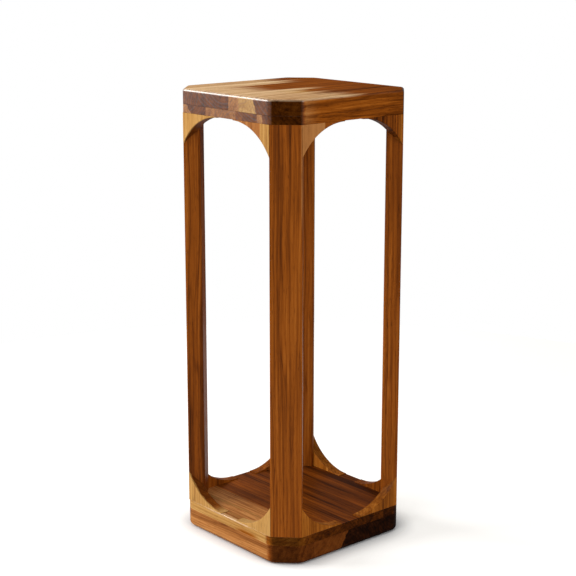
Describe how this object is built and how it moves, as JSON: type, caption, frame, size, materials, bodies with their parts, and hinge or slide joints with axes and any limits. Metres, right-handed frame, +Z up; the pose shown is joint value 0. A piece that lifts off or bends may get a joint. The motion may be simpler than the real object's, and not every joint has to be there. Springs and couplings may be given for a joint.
{
  "type": "side table",
  "caption": "Tall square wooden side table with cut corners: a thick top over an open bay with arched corner brackets and a base slab that serves as a shelf.",
  "frame": {"origin": "on the floor, under the middle of the table", "axes": "+Z up, -Y out of the front face, -X out of the left face; the near corner of the picture is front left"},
  "size_m": [0.235, 0.235, 0.614],
  "materials": {
    "heartwood": "satin lacquer over streaked brown heartwood",
    "dark_heartwood": "satin lacquer over very dark brown heartwood",
    "brown_sapwood": "satin lacquer over light brown wood",
    "pale_sapwood": "satin lacquer over pale straw sapwood",
    "dowel_beech": "raw turned beech",
    "screw_steel": "yellow zinc plated",
    "felt": "pressed brown felt"
  },
  "bodies": {
    "root": {"top_stave_1": "heartwood", "top_stave_2": "pale_sapwood", "top_stave_3": "brown_sapwood", "top_stave_4": "heartwood", "top_stave_5": "heartwood", "top_plate_stave_1": "heartwood", "top_plate_stave_2": "brown_sapwood", "top_plate_stave_3": "heartwood", "top_plate_stave_4": "pale_sapwood", "shelf_stave_1": "pale_sapwood", "shelf_stave_2": "heartwood", "shelf_stave_3": "heartwood", "shelf_stave_4": "dark_heartwood", "base_stave_1": "heartwood", "base_stave_2": "heartwood", "base_stave_3": "dark_heartwood", "base_stave_4": "dark_heartwood", "leg_front_left": "heartwood", "leg_front_right": "heartwood", "leg_back_right": "heartwood", "leg_back_left": "heartwood", "upper_bracket_front_left": "brown_sapwood", "lower_bracket_front_left": "brown_sapwood", "upper_bracket_front_right": "brown_sapwood", "lower_bracket_front_right": "brown_sapwood", "upper_bracket_right_front": "brown_sapwood", "lower_bracket_right_front": "brown_sapwood", "upper_bracket_right_back": "brown_sapwood", "lower_bracket_right_back": "brown_sapwood", "upper_bracket_back_right": "brown_sapwood", "lower_bracket_back_right": "brown_sapwood", "upper_bracket_back_left": "brown_sapwood", "lower_bracket_back_left": "brown_sapwood", "upper_bracket_left_back": "pale_sapwood", "lower_bracket_left_back": "pale_sapwood", "upper_bracket_left_front": "pale_sapwood", "lower_bracket_left_front": "pale_sapwood", "upper_bracket_dowels": "dowel_beech", "lower_bracket_dowels": "dowel_beech", "top_board_dowels": "dowel_beech", "base_board_dowels": "dowel_beech", "upper_leg_screws": "screw_steel", "lower_leg_screws": "screw_steel", "felt_pad_front_left": "felt", "felt_pad_front_right": "felt", "felt_pad_back_right": "felt", "felt_pad_back_left": "felt"}
  },
  "joints": []
}
